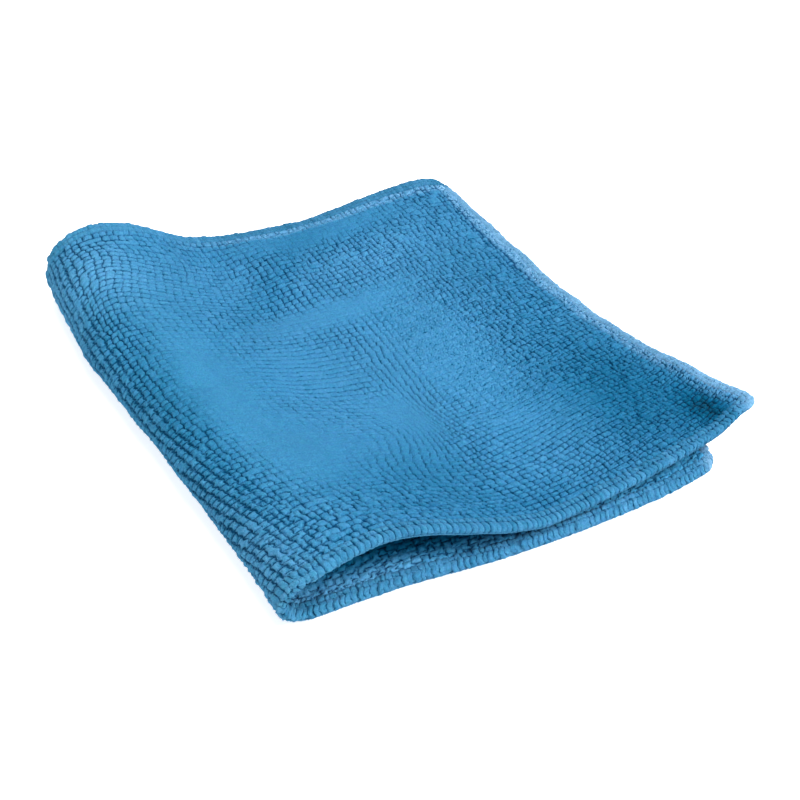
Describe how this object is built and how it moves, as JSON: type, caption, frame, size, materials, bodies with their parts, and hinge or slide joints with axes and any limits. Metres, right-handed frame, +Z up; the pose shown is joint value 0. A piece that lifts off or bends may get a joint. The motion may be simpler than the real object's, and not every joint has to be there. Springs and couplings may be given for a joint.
{
  "type": "microfibre cloth",
  "caption": "Looped terry cleaning cloth folded in half once, with an overlocked hem round its cut edges and a soft rolled fold.",
  "frame": {"origin": "middle of the resting outline, on the surface the cloth lies on", "axes": "+X along the front hem from the fold to the free end, +Y along the fold from front to back, +Z up"},
  "size_m": [0.2114, 0.2074, 0.0312],
  "materials": {
    "cloth": "matt looped pile with a soft pale sheen, overlocked hem in the same blue"
  },
  "bodies": {
    "root": {"cloth": "cloth"}
  },
  "joints": []
}
